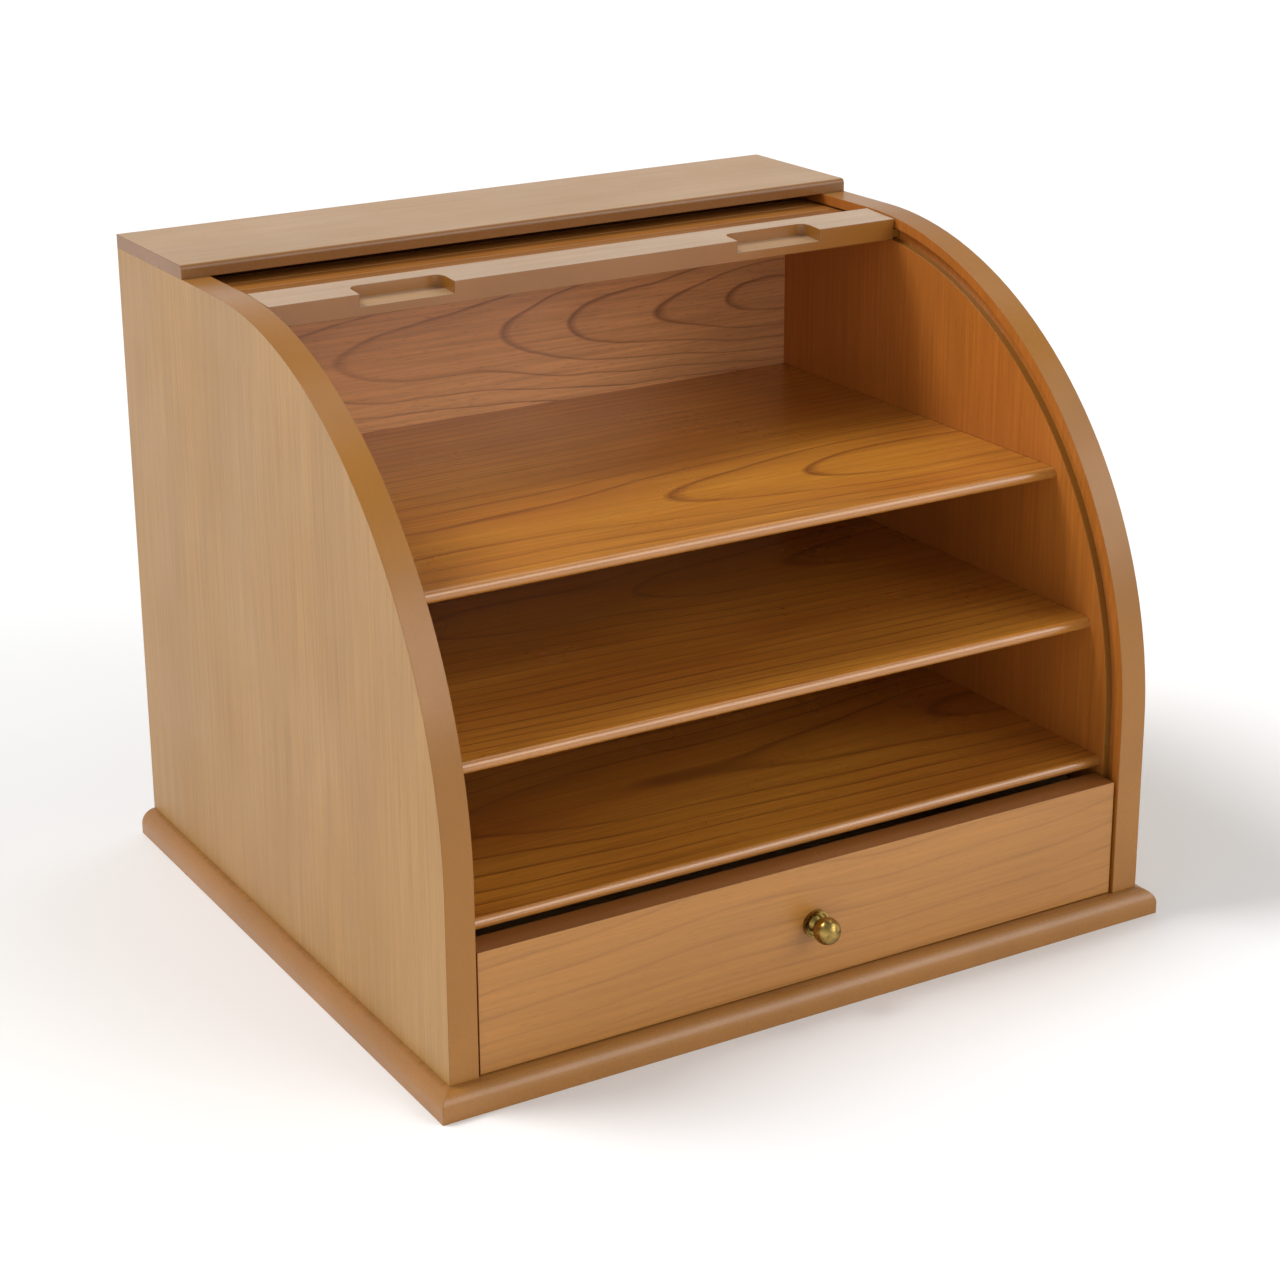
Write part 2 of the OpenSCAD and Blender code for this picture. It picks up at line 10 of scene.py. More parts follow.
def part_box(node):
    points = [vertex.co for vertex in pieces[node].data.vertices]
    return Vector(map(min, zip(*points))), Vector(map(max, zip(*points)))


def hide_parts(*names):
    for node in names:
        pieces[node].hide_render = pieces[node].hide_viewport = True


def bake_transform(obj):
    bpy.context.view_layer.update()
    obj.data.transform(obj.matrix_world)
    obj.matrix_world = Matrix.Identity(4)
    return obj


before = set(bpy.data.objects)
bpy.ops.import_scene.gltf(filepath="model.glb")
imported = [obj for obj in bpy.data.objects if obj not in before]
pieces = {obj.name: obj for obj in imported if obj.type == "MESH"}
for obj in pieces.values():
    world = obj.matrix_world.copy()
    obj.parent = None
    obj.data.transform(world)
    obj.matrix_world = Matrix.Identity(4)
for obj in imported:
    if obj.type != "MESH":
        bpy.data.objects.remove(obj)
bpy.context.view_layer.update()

# ---- Table and studio ----
# A plain white table top that runs far out on all sides. Wide soft lights stand at the front
# right, the right, the top right and the rear left, and the bright surround, white at the
# horizon and grey overhead, is what the varnish mirrors.


def put(tree, kind, feeds=(), **settings):
    """Adds one shader node, gives it its settings, and fills its inputs from numbers or other sockets."""
    made = tree.nodes.new("ShaderNode" + kind)
    for name, value in settings.items():
        setattr(made, name, value)
    for name, value in dict(feeds).items():
        if isinstance(value, bpy.types.NodeSocket):
            tree.links.new(value, made.inputs[name])
        else:
            made.inputs[name].default_value = value
    return made


def fresh_material(name):
    """A material with only its Principled shader and its output, and the tree and shader to work on."""
    material = bpy.data.materials.new(name)
    material.use_nodes = True
    tree = material.node_tree
    tree.nodes.clear()
    shader = put(tree, "BsdfPrincipled")
    output = put(tree, "OutputMaterial")
    tree.links.new(shader.outputs["BSDF"], output.inputs["Surface"])
    return material, tree, shader


def mesh_piece(name, points, faces, material):
    """A mesh object from arrays of points and faces, at the origin, with one material."""
    mesh = bpy.data.meshes.new(name)
    mesh.from_pydata(points.tolist(), [], faces)
    mesh.materials.append(material)
    piece = bpy.data.objects.new(name, mesh)
    bpy.context.scene.collection.objects.link(piece)
    return piece


table_half, table_shade, table_roughness = 6.0, 0.93, 0.6
table_white, tree, shader = fresh_material("table_white")
shader.inputs["Base Color"].default_value = (table_shade, table_shade, table_shade, 1)
shader.inputs["Roughness"].default_value = table_roughness
corners = np.array([[-1, -1, 0], [1, -1, 0], [1, 1, 0], [-1, 1, 0]]) * table_half
table_top = mesh_piece("table_top", corners, [(0, 1, 2, 3)], table_white)

softbox_distance = 3


def soft_light(name, azimuth, elevation, spread_angle, strength, tint):
    """A far, wide softbox: light from one direction, as wide as its spread angle in degrees."""
    lamp = bpy.data.lights.new(name, "SUN")
    lamp.angle = math.radians(spread_angle)
    lamp.energy, lamp.color = strength, tint
    turn, rise = math.radians(azimuth), math.radians(elevation)
    toward = Vector((math.sin(turn) * math.cos(rise), -math.cos(turn) * math.cos(rise), math.sin(rise)))
    holder = bpy.data.objects.new(name, lamp)
    holder.location = softbox_distance * toward
    holder.rotation_mode = "QUATERNION"
    holder.rotation_quaternion = (-toward).to_track_quat("-Z", "Y")
    bpy.context.scene.collection.objects.link(holder)


warm, neutral = (1, 0.985, 0.96), (1, 1, 1)
# azimuth, elevation and spread angle in degrees, strength, tint
softboxes = {
    "front_right_softbox": (32, 28, 34, 0.95, warm),
    "right_softbox": (60, 40, 30, 0.3, neutral),
    "top_right_softbox": (115, 60, 20, 0.15, neutral),
    "rear_left_softbox": (-125, 54, 24, 2.0, neutral),
}
for name, settings in softboxes.items():
    soft_light(name, *settings)

fade_start, fade_end = 0.06, 0.75
horizon_light, overhead_light = 0.97, 0.33
surround = bpy.data.worlds.new("surround")
bpy.context.scene.world = surround
surround.use_nodes = True
sky = surround.node_tree
direction = put(sky, "TexCoord").outputs["Generated"]
height = put(sky, "SeparateXYZ", {"Vector": direction}).outputs["Z"]
fading = {
    "Value": height, "From Min": fade_start, "From Max": fade_end,
    "To Min": horizon_light, "To Max": overhead_light,
}
brightness = put(sky, "MapRange", fading, clamp=True).outputs["Result"]
sky.links.new(brightness, sky.nodes["Background"].inputs["Strength"])
sky.nodes["Background"].inputs["Color"].default_value = (1, 1, 1, 1)
bpy.context.scene.view_settings.view_transform = "Standard"

# ---- Camera ----
# Stands in front, to the left and a little above, and looks down at the box with a long lens.
# A small lens shift and a roll of one degree keep the box's upright edges nearly upright.
camera_place = Vector((-0.6895, -1.1585, 0.6412))
azimuth, elevation, roll = math.radians(-28.84), math.radians(18.54), math.radians(-1.0)
lens = bpy.data.cameras.new("camera")
lens.lens, lens.sensor_width = 77.14, 36.0
lens.shift_x, lens.shift_y = 0.078, -0.078
camera = bpy.data.objects.new("camera", lens)
behind = Vector((
    math.sin(azimuth) * math.cos(elevation),
    -math.cos(azimuth) * math.cos(elevation),
    math.sin(elevation),
))
level_right = Vector((0, 0, 1)).cross(behind).normalized()
level_up = behind.cross(level_right)
right = math.cos(roll) * level_right + math.sin(roll) * level_up
up = behind.cross(right)
camera.matrix_world = Matrix.Translation(camera_place) @ Matrix((right, up, behind)).transposed().to_4x4()
bpy.context.scene.collection.objects.link(camera)
bpy.context.scene.camera = camera

# ---- Side panels ----
# Each side is a veneered board with upright grain. The sawn edge round its outline isn't
# veneered: it is sanded round and sprayed with the same stain, so it shows no figure.
noise_roughness = 0.55
# noise waves per metre: the ring pattern's slow, broad and quick wander and its uneven spacing
slow_waves, broad_waves, quick_waves, spacing_waves = 2.4, 4, 34, 45
# noise waves per metre: tone drift, streaks, fading of the rings, fibres and pores
drift_waves, streak_waves, fading_waves, fibre_waves, pore_waves = 5, 60, 9, 520, 1400
# noise waves per metre: cloudiness and speckle of the sprayed stain
mottle_waves, speckle_waves = 14, 900
coat_roughness, edge_radius = 0.24, 0.0007
relief_strength, relief_depth = 0.18, 0.0002
film_palest, film_deepest = 1.07, 0.93
strip_deepest, strip_palest = 0.86, 1.12
streak_share, pore_share, speckle_share = 0.45, 0.3, 0.22
# how dark the wood is, from 0 to 1, at shares of a ring's width
ring_tones = ((0.5, 0.03), (0.82, 0.16), (0.935, 1.0), (0.97, 0.45))
# a face counts as turned away below the first share of its axis, and as square to it above the next
turned_away, square_on = 0.9, 0.97


def soft_noise(tree, place, scale, detail, stretch=(1, 1, 1)):
    """A smooth random value from 0 to 1, at places stretched by three factors."""
    where = put(tree, "VectorMath", {0: place, 1: stretch}, operation="MULTIPLY")
    settings = {
        "Vector": where.outputs[0], "Scale": scale, "Detail": detail, "Roughness": noise_roughness,
    }
    return put(tree, "TexNoise", settings).outputs["Fac"]


def reckon(tree, operation, *terms):
    """One arithmetic step on numbers or sockets."""
    return put(tree, "Math", dict(enumerate(terms)), operation=operation).outputs[0]


def tone(tree, share, below, above):
    """A colour between two others, by a share from 0 to 1."""
    mix = put(tree, "MixRGB", {"Fac": share, "Color1": below, "Color2": above})
    return mix.outputs["Color"]


def shade(tree, share, colour, factor):
    """The colour times a factor, which is another colour or one value for all three channels."""
    feeds = {"Fac": share, "Color1": colour, "Color2": factor}
    return put(tree, "MixRGB", feeds, blend_type="MULTIPLY").outputs["Color"]


def spread(tree, value, low, high, to_low=0.0, to_high=1.0):
    """The value's range from low to high, mapped to another range, and held at its ends."""
    feeds = {"Value": value, "From Min": low, "From Max": high, "To Min": to_low, "To Max": to_high}
    return put(tree, "MapRange", feeds, clamp=True).outputs["Result"]


def board_place(tree, along, across, shift, on_surface=False):
    """Object coordinates, or the piece's own surface map, with the grain's direction put first."""
    coordinates = put(tree, "TexCoord").outputs
    if on_surface:
        start = coordinates["UV"]
    else:
        start = coordinates["Object"]
    parts = put(tree, "SeparateXYZ", {"Vector": start}).outputs
    depth = "XYZ".replace(along, "").replace(across, "")
    turned = put(tree, "CombineXYZ", {"X": parts[along], "Y": parts[across], "Z": parts[depth]})
    return put(tree, "VectorMath", {0: turned.outputs[0], 1: shift}, operation="ADD").outputs[0]


def ring_lines(tree, place, pith, slope, spacing, wander, wiggle):
    """Growth rings cut by the board: the distance from a pith line that leans along the grain,
    pushed about by slow and quick noise, and cut into one dark late-wood line per spacing."""
    parts = put(tree, "SeparateXYZ", {"Vector": place}).outputs
    slow = soft_noise(tree, place, slow_waves, 1, (1, 2.6, 1))
    broad = soft_noise(tree, place, broad_waves, 1, (1.3, 1, 1))
    quick = soft_noise(tree, place, quick_waves, 2, (0.4, 1.2, 1))
    pushed = reckon(tree, "MULTIPLY_ADD", slow, wander, parts["Y"])
    pushed = reckon(tree, "MULTIPLY_ADD", quick, wiggle, pushed)
    level = reckon(tree, "MULTIPLY_ADD", parts["X"], slope, pith)
    level = reckon(tree, "MULTIPLY_ADD", broad, wander, level)
    across_square = reckon(tree, "MULTIPLY", pushed, pushed)
    radius = reckon(tree, "SQRT", reckon(tree, "MULTIPLY_ADD", level, level, across_square))
    outward = put(tree, "CombineXYZ", {"X": radius}).outputs[0]
    uneven = reckon(tree, "MULTIPLY_ADD", soft_noise(tree, outward, spacing_waves, 0), spacing, radius)
    turn = reckon(tree, "FRACT", reckon(tree, "DIVIDE", uneven, spacing))
    line = put(tree, "ValToRGB", {"Fac": turn})
    ramp = line.color_ramp.elements
    ramp[0].position, ramp[0].color = 0.0, (0, 0, 0, 1)
    ramp[1].position, ramp[1].color = 1.0, (0, 0, 0, 1)
    for position, grey in ring_tones:
        ramp.new(position).color = (grey, grey, grey, 1)
    return line.outputs["Color"]


def strip_places(tree, place, first_edge, width):
    """Slides the grain of each separate strip by its own chance; returns the places and chance."""
    parts = put(tree, "SeparateXYZ", {"Vector": place}).outputs
    counted = reckon(tree, "DIVIDE", reckon(tree, "SUBTRACT", parts["Y"], first_edge), width)
    number = reckon(tree, "FLOOR", counted)
    chance = put(tree, "TexWhiteNoise", {"W": number}, noise_dimensions="1D").outputs["Value"]
    slid = put(tree, "CombineXYZ", {"X": chance, "Z": chance}).outputs[0]
    return put(tree, "VectorMath", {0: place, 1: slid}, operation="ADD").outputs[0], chance


def drifting_ground(tree, place, light, dark):
    """The wood between its rings: it drifts slowly from light to dark and has long dark streaks."""
    drift = soft_noise(tree, place, drift_waves, 2, (1, 3, 3))
    ground = tone(tree, spread(tree, drift, 0.32, 0.68), (*light, 1), (*dark, 1))
    streak = soft_noise(tree, place, streak_waves, 3, (0.06, 2.2, 2.2))
    return tone(tree, spread(tree, streak, 0.35, 0.75, 0, streak_share), ground, (*dark, 1))


def sprayed_film(tree, place, mottle, sprayed, line):
    """Sprayed stain over bare wood, without figure: faint clouds and a fine dark speckle."""
    speckle = soft_noise(tree, place, speckle_waves, 1)
    paler = tuple(film_palest * part for part in sprayed)
    deeper = tuple(film_deepest * part for part in sprayed)
    film = tone(tree, spread(tree, mottle, 0.35, 0.65), (*paler, 1), (*deeper, 1))
    return tone(tree, spread(tree, speckle, 0.45, 0.75, 0, speckle_share), film, (*line, 1))


def stained_veneer(name, along, across, face, light, dark, line, sprayed, figure, gloss,
                   pith=0.05, slope=0.1, spacing=0.01, wander=0.02, wiggle=0.003,
                   shift=(0, 0, 0), edge_gloss=0.3, coat=0.3, mirror=0.5, fibre=0.12,
                   inside=None, strips=None, on_surface=False):
    """Stained and varnished veneer: a ground that drifts from light to dark, ring lines, fibres
    and short pores along the grain. Surfaces that don't face along the face axis are sprayed.
    inside is a direction along that axis and a painted shade tint for the faces that look that way,
    standing in for the dim, warm light inside the box. strips is the first edge and the width of separate
    strips, each with its own tone and its own grain."""
    material, tree, shader = fresh_material(name)
    place = board_place(tree, along, across, shift, on_surface)
    if strips:
        place, chance = strip_places(tree, place, *strips)
    ground = drifting_ground(tree, place, light, dark)
    rings = ring_lines(tree, place, pith, slope, spacing, wander, wiggle)
    fade = soft_noise(tree, place, fading_waves, 1, (0.5, 2, 1))
    fade = spread(tree, fade, 0.3, 0.6, 0.5, 1)
    share = reckon(tree, "MULTIPLY", reckon(tree, "MULTIPLY", rings, fade), figure)
    ground = tone(tree, share, ground, (*line, 1))
    fibres = soft_noise(tree, place, fibre_waves, 2, (0.025, 1, 1))
    pores = spread(tree, soft_noise(tree, place, pore_waves, 1, (0.1, 1, 1)), 0.6, 0.75)
    worn = spread(tree, fibres, 0.3, 0.7, 1 - fibre, 1 + fibre)
    veneer = shade(tree, 1.0, ground, worn)
    veneer = tone(tree, reckon(tree, "MULTIPLY", pores, pore_share), veneer, (*line, 1))
    if strips:
        strip_tone = spread(tree, chance, 0, 1, strip_deepest, strip_palest)
        veneer = shade(tree, 1.0, veneer, strip_tone)
    mottle = soft_noise(tree, place, mottle_waves, 3)
    if face:
        normal = put(tree, "TexCoord").outputs["Normal"]
        facing = put(tree, "SeparateXYZ", {"Vector": normal}).outputs[face]
        # Painted shade: faces that look inwards are tinted deeper and redder for the dim, warm light
        # inside the box.
        if inside:
            inward = reckon(tree, "MULTIPLY", facing, inside[0])
            inward = spread(tree, inward, turned_away, square_on)
            veneer = shade(tree, inward, veneer, (*inside[1], 1))
        sawn = spread(tree, reckon(tree, "ABSOLUTE", facing), turned_away, square_on, 1, 0)
        veneer = tone(tree, sawn, veneer, sprayed_film(tree, place, mottle, sprayed, line))
        gloss = spread(tree, sawn, 0, 1, gloss, edge_gloss)
    tree.links.new(veneer, shader.inputs["Base Color"])
    roughness = reckon(tree, "ADD", spread(tree, mottle, 0.3, 0.7, -0.05, 0.06), gloss)
    tree.links.new(roughness, shader.inputs["Roughness"])
    shader.inputs["Specular IOR Level"].default_value = mirror
    shader.inputs["Coat Weight"].default_value = coat
    shader.inputs["Coat Roughness"].default_value = coat_roughness
    rounded = put(tree, "Bevel", {"Radius": edge_radius}, samples=4)
    relief = reckon(tree, "SUBTRACT", fibres, pores)
    raised = put(tree, "Bump", {
        "Height": relief, "Strength": relief_strength, "Distance": relief_depth,
        "Normal": rounded.outputs[0],
    })
    tree.links.new(raised.outputs["Normal"], shader.inputs["Normal"])
    return material


def finish_piece(name, material):
    """Gives a piece of the plain frame this material in each of its slots."""
    for slot in pieces[name].material_slots:
        slot.material = material


# Painted shade on the sides' inward faces: a deeper, redder tint for the dim, warm light inside the box.
inner_painted_shade_tint = (1.2, 0.75, 0.37)
for name, inward in (("left_side", 1), ("right_side", -1)):
    side_veneer = stained_veneer(
        name + "_veneer", "Z", "Y", "X",
        light=(0.415, 0.22, 0.064), dark=(0.355, 0.182, 0.05), line=(0.22, 0.1, 0.03),
        sprayed=(0.31, 0.127, 0.018), figure=0.16, pith=0.35, slope=0.03, spacing=0.011,
        shift=(0.31, 0.42, 0.1), gloss=0.42, edge_gloss=0.3, coat=0.1, mirror=0.35, fibre=0.1,
        inside=(inward, inner_painted_shade_tint),
    )
    finish_piece(name, side_veneer)

# ---- Base board ----
# The thick board that the sides stand on, screwed up from below. Its upper edge is rounded
# over on three sides, and it is stained amber all over.
base_stain = stained_veneer(
    "base_stain", "X", "Y", "Z",
    light=(0.34, 0.15, 0.032), dark=(0.28, 0.115, 0.024), line=(0.17, 0.06, 0.015),
    sprayed=(0.33, 0.14, 0.026), figure=0.25, shift=(0.7, 0.2, 0.4), gloss=0.36, coat=0.15,
    mirror=0.4,
)
finish_piece("base_board", base_stain)

# ---- Top board ----
# A thin board of fine, even grain that bridges the sides at the rear and covers the curtain's
# slot. It lies flat on both sides, and its edges are stained dark.
top_veneer = stained_veneer(
    "top_veneer", "X", "Y", "Z",
    light=(0.43, 0.26, 0.13), dark=(0.38, 0.225, 0.108), line=(0.3, 0.15, 0.07),
    sprayed=(0.22, 0.09, 0.02), figure=0.1, shift=(0.15, 0.9, 0.3), gloss=0.42, coat=0.1,
    mirror=0.35, fibre=0.08,
)
finish_piece("top_board", top_veneer)

# ---- Back panel ----
# A thin fibre board with a plain wood-grain face, pinned into rebates in the sides. It closes
# the space where the curtain hangs.
back_face = stained_veneer(
    "back_face", "Z", "X", "Y",
    light=(0.30, 0.165, 0.075), dark=(0.25, 0.13, 0.055), line=(0.15, 0.07, 0.03),
    sprayed=(0.2, 0.11, 0.05), figure=0.3, shift=(0.2, 0.05, 0.6), gloss=0.6, coat=0.0,
)
finish_piece("back_panel", back_face)

# ---- Inner back ----
# A veneered panel with wide cathedral figure, let into the sides. It closes the bays and hides
# the stored curtain.
inner_back_veneer = stained_veneer(
    "inner_back_veneer", "X", "Z", "Y",
    light=(0.78, 0.39, 0.155), dark=(0.64, 0.29, 0.11), line=(0.2, 0.065, 0.025),
    sprayed=(0.40, 0.2, 0.08), figure=0.8, pith=0.03, slope=-0.07, spacing=0.0042, wander=0.026,
    wiggle=0.006, shift=(0.08, -0.285, 0.0), gloss=0.42, fibre=0.16,
)
finish_piece("inner_back", inner_back_veneer)

# ---- Shelves ----
# Three thin boards with cathedral figure and a half-round front, let into the sides, under the
# glossiest varnish of the box.
shelf_pieces = {
    "low_shelf": (-0.05, 0.06, 0.0),
    "mid_shelf": (0.13, -0.02, 0.3),
    "top_shelf": (0.02, 0.04, 0.7),
}
for shelf, shift in shelf_pieces.items():
    shelf_veneer = stained_veneer(
        shelf + "_veneer", "X", "Y", "Z",
        light=(0.58, 0.245, 0.029), dark=(0.40, 0.135, 0.016), line=(0.18, 0.05, 0.01),
        sprayed=(0.42, 0.17, 0.03), figure=0.85, pith=0.05, slope=-0.05, spacing=0.0075,
        wander=0.025, wiggle=0.0025, shift=shift, gloss=0.3, edge_gloss=0.2, coat=0.6, fibre=0.16,
    )
    finish_piece(shelf, shelf_veneer)

# ---- Drawer ----
# The front is a veneered board with level grain; the box behind it is pale bare wood with a
# thin bottom. Two blocks under the lowest shelf stop the drawer when it is pulled out.
drawer_veneer = stained_veneer(
    "drawer_veneer", "X", "Z", "Y",
    light=(0.44, 0.19, 0.04), dark=(0.38, 0.162, 0.031), line=(0.24, 0.09, 0.02),
    sprayed=(0.24, 0.085, 0.018), figure=0.42, pith=0.26, slope=0.02, spacing=0.0055,
    wander=0.015, wiggle=0.0015, shift=(0.3, -0.2, 0.2), gloss=0.42, coat=0.2, mirror=0.4, fibre=0.08,
)
finish_piece("drawer_front", drawer_veneer)
bare_wood = stained_veneer(
    "bare_wood", "Y", "Z", "X",
    light=(0.62, 0.43, 0.23), dark=(0.55, 0.36, 0.18), line=(0.4, 0.23, 0.1),
    sprayed=(0.58, 0.4, 0.21), figure=0.4, pith=0.3, spacing=0.006, gloss=0.6, coat=0.0,
)
for name in ("drawer_left", "drawer_right"):
    finish_piece(name, bare_wood)
bare_cross = stained_veneer(
    "bare_cross", "X", "Y", "Z",
    light=(0.60, 0.42, 0.23), dark=(0.53, 0.35, 0.18), line=(0.38, 0.22, 0.1),
    sprayed=(0.56, 0.39, 0.21), figure=0.4, pith=0.3, spacing=0.007, gloss=0.6, coat=0.0,
)
for name in ("drawer_back", "drawer_bottom", "drawer_stops"):
    finish_piece(name, bare_cross)

# ---- Lead rail ----
# The stout first slat, with two routed finger notches and a tongue at each end that rides in
# the tracks. It is sanded smooth and sprayed; its flat faces are painted paler as a reflection.
# The light and dark colours go on the flat upper and lower faces as a painted reflection; the sprayed
# colour covers the rest.
rail_stain_and_sheen = stained_veneer(
    "rail_stain_and_sheen", "X", "Y", "Z",
    light=(0.46, 0.29, 0.155), dark=(0.41, 0.25, 0.13), line=(0.28, 0.12, 0.04),
    sprayed=(0.27, 0.105, 0.014), figure=0.08, shift=(0.5, 0.33, 0.1), gloss=0.36, coat=0.4,
)
finish_piece("lead_rail", rail_stain_and_sheen)

# ---- Curtain slats ----
# Narrow slats glued to canvas. The first three stay rigid behind the lead rail. The run that
# covers the curve is one piece, built where it lies packed inside the stored slats under the top
# board with the roll top open; each slat is placed from where it lies when the roll top is shut.
strip_wood = {
    "light": (0.40, 0.16, 0.03), "dark": (0.32, 0.115, 0.02), "line": (0.15, 0.05, 0.013),
    "sprayed": (0.34, 0.135, 0.03), "figure": 0.3, "spacing": 0.012, "gloss": 0.34,
}
slat_pitch, slat_joint = 0.015288, 0.0004
rigid_first_edge = float(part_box("slat_01")[0].y) - slat_joint / 2
slat_stain = stained_veneer(
    "slat_stain", "X", "Y", "Z", strips=(rigid_first_edge, slat_pitch), **strip_wood
)
for number in range(1, 27):
    finish_piece(f"slat_{number:02d}", slat_stain)

hinge_y, hinge_z = 0.052, 0.1055
canvas_radius = 0.216
slat_thick, tongue_thick, slat_chamfer = 0.006, 0.0044, 0.0004
slat_half, tongue_half, tongue_set = 0.1845, 0.1886, 0.0005
pack_front, pack_rear = 0.0975, 0.112
shut_turn = math.pi / 2
settle_length = 0.055
flex_slats = 22
search_from, search_to, halvings = -0.6, 1.2, 50
# distances along the shut curtain, counted from the top of the curve and positive behind it
rigid_rear = float(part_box("slat_03")[1].y) - hinge_y
flex_start = (math.atan2(rigid_rear, canvas_radius) - shut_turn) * canvas_radius + slat_joint
flex_end = float(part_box("slat_04")[0].y) - hinge_y - slat_joint
bulge = math.hypot(rigid_rear, canvas_radius) - canvas_radius


def open_place(shut_angle, radius):
    """Where a point of the shut curtain lies when the roll top is open. It keeps its distance from
    the hinge line, and its open angle less a quarter turn times the blend share at its open depth
    equals its shut angle; the open angle is found by halving an interval."""
    low, high = np.full(shut_angle.shape, search_from), np.full(shut_angle.shape, search_to)
    for _ in range(halvings):
        angle = (low + high) / 2
        depth = hinge_y + radius * np.sin(angle)
        share = np.clip((pack_rear - depth) / (pack_rear - pack_front), 0, 1)
        share = share * share * (3 - 2 * share)
        too_far = angle - share * shut_turn > shut_angle
        low, high = np.where(too_far, low, angle), np.where(too_far, angle, high)
    return hinge_y + radius * np.sin(angle), hinge_z + radius * np.cos(angle)


def stand_off(along):
    """How far the shut curtain lies outside the curve: along the rigid slats it is their flat
    plane's, and behind them it settles smoothly to nothing."""
    flat_angle = np.clip(along / canvas_radius + shut_turn, 0, math.atan2(rigid_rear, canvas_radius))
    settled = np.clip((along - flex_start) / settle_length, 0, 1)
    settled = settled * settled * (3 - 2 * settled)
    rigid_part = canvas_radius / np.cos(flat_angle) - canvas_radius
    return np.where(along < flex_start, rigid_part, bulge * (1 - settled))


def shut_place(middle, offset, lift):
    """Angle and radius of a point of the shut curtain: at a middle on the curve, offset runs along
    the tangent and lift outwards; behind the top of the curve both are level and upright."""
    turned = np.minimum(middle, 0) / canvas_radius
    level = np.maximum(middle, 0) + offset
    outward = canvas_radius + lift + stand_off(middle + offset)
    return turned + np.arctan2(level, outward), np.hypot(level, outward)


flex_pitch = (flex_end - flex_start) / flex_slats
middles = flex_start + (np.arange(flex_slats) + 0.5) * flex_pitch
half, cut = (flex_pitch - slat_joint) / 2, slat_chamfer
full_profile = np.array([
    [-half, 0], [half, 0], [half, slat_thick - cut], [half - cut, slat_thick],
    [-half + cut, slat_thick], [-half, slat_thick - cut],
])
tongue_low, tongue_side = (slat_thick - tongue_thick) / 2, half - tongue_set
tongue_top = tongue_low + tongue_thick
tongue_profile = np.array([
    [-tongue_side, tongue_low], [tongue_side, tongue_low], [tongue_side, tongue_top],
    [tongue_side - cut, tongue_top], [cut - tongue_side, tongue_top], [-tongue_side, tongue_top],
])
station_x = np.array([-tongue_half, -slat_half, -slat_half, slat_half, slat_half, tongue_half])
profiles = np.stack([tongue_profile] * 2 + [full_profile] * 2 + [tongue_profile] * 2)
shape = (flex_slats, *profiles.shape[:2])
offsets = np.broadcast_to(profiles[None, :, :, 0], shape)
lifts = np.broadcast_to(profiles[None, :, :, 1], shape)
angles, radii = shut_place(middles[:, None, None], offsets, lifts)
depth, height = open_place(angles, radii)
across = np.broadcast_to(station_x[None, :, None], shape)
points = np.stack([across, depth, height], -1).reshape(-1, 3)
surface_map = np.stack([across, middles[:, None, None] + offsets], -1).reshape(-1, 2)


def tube_faces(first, rings, sides):
    """Faces of a closed tube whose rings of points lie one after another, with both ends capped."""
    ring, side = np.meshgrid(np.arange(rings - 1), np.arange(sides), indexing="ij")
    near = first + ring * sides + side
    after = first + ring * sides + (side + 1) % sides
    walls = np.stack([near, after, after + sides, near + sides], -1).reshape(-1, 4).tolist()
    start_cap = [first + corner for corner in reversed(range(sides))]
    end_cap = [first + (rings - 1) * sides + corner for corner in range(sides)]
    return walls + [start_cap, end_cap]


faces = []
for number in range(flex_slats):
    faces += tube_faces(number * shape[1] * shape[2], shape[1], shape[2])
curtain_stain = stained_veneer(
    "curtain_stain", "X", "Y", None, strips=(float(flex_start - slat_joint / 2), flex_pitch),
    on_surface=True, **strip_wood,
)


def map_surface(piece, places):
    """Writes a surface map from one place per point."""
    corners = np.zeros(len(piece.data.loops), np.int32)
    piece.data.loops.foreach_get("vertex_index", corners)
    layer = piece.data.uv_layers.new(name="surface")
    layer.data.foreach_set("uv", places[corners].astype(np.float32).ravel())


curtain_slats = mesh_piece("curtain_slats", points, faces, curtain_stain)
map_surface(curtain_slats, surface_map)
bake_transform(curtain_slats)

# ---- Canvas ----
# Plain-weave canvas glued under the slats. It runs from the lead rail, under the top board,
# round the rear corner and down behind the inner back.
canvas_thick, glue_line = 0.0007, 0.00005
canvas_half, canvas_length = 0.179, 0.3975
corner_radius, corner_along = 0.035, 0.076
tail_z = float(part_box("canvas")[0].z)
thread_pitch, slub_waves = 0.0009, 300
cloth_roughness, weave_strength, weave_depth = 0.9, 0.4, 0.0002
cloth_deep, cloth_pale = (0.50, 0.42, 0.3, 1), (0.66, 0.58, 0.44, 1)
slub_colour = (0.42, 0.33, 0.22, 1)
front_overlap, rear_overlap, lane_start = 0.01, 0.0005, 0.0025
front_steps, lane_steps, bend_steps, drop_steps = 240, 4, 11, 11
weave, tree, shader = fresh_material("canvas_weave")
thread = put(tree, "TexCoord").outputs["UV"]
parts = put(tree, "SeparateXYZ", {"Vector": thread}).outputs
thread_turn = 2 * math.pi / thread_pitch
warp = reckon(tree, "SINE", reckon(tree, "MULTIPLY", parts["X"], thread_turn))
weft = reckon(tree, "SINE", reckon(tree, "MULTIPLY", parts["Y"], thread_turn))
over = reckon(tree, "MULTIPLY", warp, weft)
slub = soft_noise(tree, thread, slub_waves, 2, (0.2, 1, 1))
cloth = tone(tree, spread(tree, over, -1, 1), cloth_deep, cloth_pale)
cloth = tone(tree, spread(tree, slub, 0.4, 0.7, 0, 0.3), cloth, slub_colour)
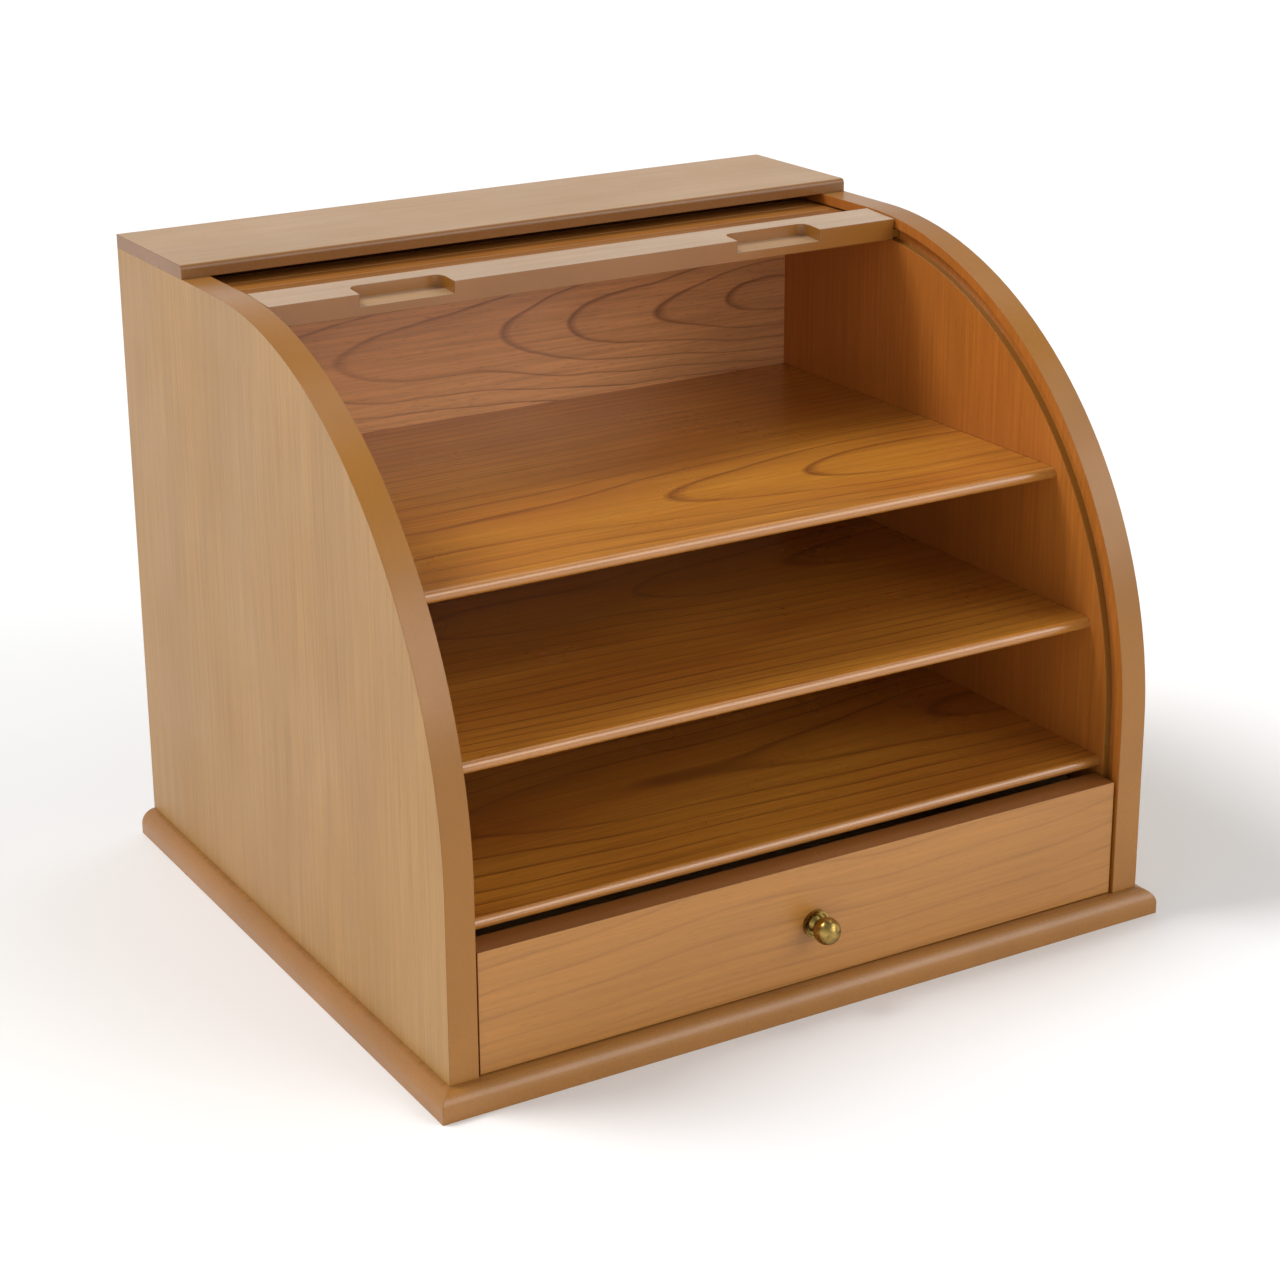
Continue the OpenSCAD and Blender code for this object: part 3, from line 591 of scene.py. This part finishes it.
tree.links.new(cloth, shader.inputs["Base Color"])
shader.inputs["Roughness"].default_value = cloth_roughness
woven = put(tree, "Bump", {"Height": over, "Strength": weave_strength, "Distance": weave_depth})
tree.links.new(woven.outputs["Normal"], shader.inputs["Normal"])

front_along = np.linspace(
    -shut_turn * canvas_radius - front_overlap, pack_rear - hinge_y + rear_overlap, front_steps
)
lane_y = np.linspace(pack_rear + lane_start, hinge_y + corner_along, lane_steps)
bend = np.linspace(0, math.pi / 2, bend_steps + 1)[1:]


def canvas_side(inset):
    """The canvas's path at a distance inside the canvas line, as depth and height: the blended
    front, the level lane, the quarter bend at the rear corner, and straight down."""
    bent_middle = np.minimum(front_along, 0)
    front_y, front_z = open_place(*shut_place(bent_middle, front_along - bent_middle, -inset))
    lane_z = hinge_z + canvas_radius - inset
    corner_y, corner_z = hinge_y + corner_along, hinge_z + canvas_radius - corner_radius
    tight = corner_radius - inset
    drop = np.linspace(corner_z, tail_z, drop_steps + 1)[1:]
    rear_y = np.full(drop_steps, corner_y + tight)
    path_y = [front_y, lane_y, corner_y + tight * np.sin(bend), rear_y]
    path_z = [front_z, np.full(lane_steps, lane_z), corner_z + tight * np.cos(bend), drop]
    return np.concatenate(path_y), np.concatenate(path_z)


outer_y, outer_z = canvas_side(glue_line)
inner_y, inner_z = canvas_side(glue_line + canvas_thick)
count = len(outer_y)
step = np.hypot(np.diff(outer_y), np.diff(outer_z))
rear_walked = front_along[-1] + np.cumsum(step[len(front_along) - 1:])
walked = np.concatenate([front_along, rear_walked])
ring_y = np.stack([outer_y, outer_y, inner_y, inner_y], 1)
ring_z = np.stack([outer_z, outer_z, inner_z, inner_z], 1)
ring_x = np.broadcast_to(canvas_half * np.array([1, -1, -1, 1]), (count, 4))
points = np.stack([ring_x, ring_y, ring_z], -1).reshape(-1, 3)
curtain_canvas = mesh_piece("curtain_canvas", points, tube_faces(0, count, 4), weave)
surface_map = np.stack([ring_x, np.broadcast_to(walked[:, None], (count, 4))], -1).reshape(-1, 2)
map_surface(curtain_canvas, surface_map)
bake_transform(curtain_canvas)
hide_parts("canvas")

# ---- Knob ----
# A turned brass ball on a neck and a round rose, aged with dark patina spots and clouds of worn and
# dull brass, held by a steel screw from inside the drawer.
patina_waves, cloud_waves = 330, 120
worn_brass, dull_brass = (0.43, 0.29, 0.08, 1), (0.24, 0.155, 0.04, 1)
patina_colour = (0.09, 0.055, 0.02, 1)
pit_strength, pit_depth = 0.12, 0.0003
aged_brass, tree, shader = fresh_material("aged_brass")
place = put(tree, "TexCoord").outputs["Object"]
patina = soft_noise(tree, place, patina_waves, 4)
cloud = soft_noise(tree, place, cloud_waves, 2)
metal = tone(tree, spread(tree, cloud, 0.35, 0.65), worn_brass, dull_brass)
metal = tone(tree, spread(tree, patina, 0.5, 0.68, 0, 0.75), metal, patina_colour)
tree.links.new(metal, shader.inputs["Base Color"])
shader.inputs["Metallic"].default_value = 1.0
tree.links.new(spread(tree, patina, 0.35, 0.7, 0.16, 0.42), shader.inputs["Roughness"])
pitted = put(tree, "Bump", {"Height": patina, "Strength": pit_strength, "Distance": pit_depth})
tree.links.new(pitted.outputs["Normal"], shader.inputs["Normal"])
finish_piece("knob", aged_brass)
finish_piece("knob_rose", aged_brass)

# ---- Screws and pins ----
# Zinc-plated steel: the knob's screw, six countersunk screws up through the base board, and ten
# pins along the two upright edges of the back panel.
spangle_waves = 500
pale_zinc, deep_zinc = (0.62, 0.62, 0.6, 1), (0.45, 0.45, 0.44, 1)
zinc_steel, tree, shader = fresh_material("zinc_steel")
place = put(tree, "TexCoord").outputs["Object"]
spangle = soft_noise(tree, place, spangle_waves, 3)
plated = tone(tree, spread(tree, spangle, 0.35, 0.65), pale_zinc, deep_zinc)
tree.links.new(plated, shader.inputs["Base Color"])
shader.inputs["Metallic"].default_value = 1.0
tree.links.new(spread(tree, spangle, 0.3, 0.7, 0.28, 0.5), shader.inputs["Roughness"])
for name in ("knob_screw", "base_screws", "back_pins"):
    finish_piece(name, zinc_steel)
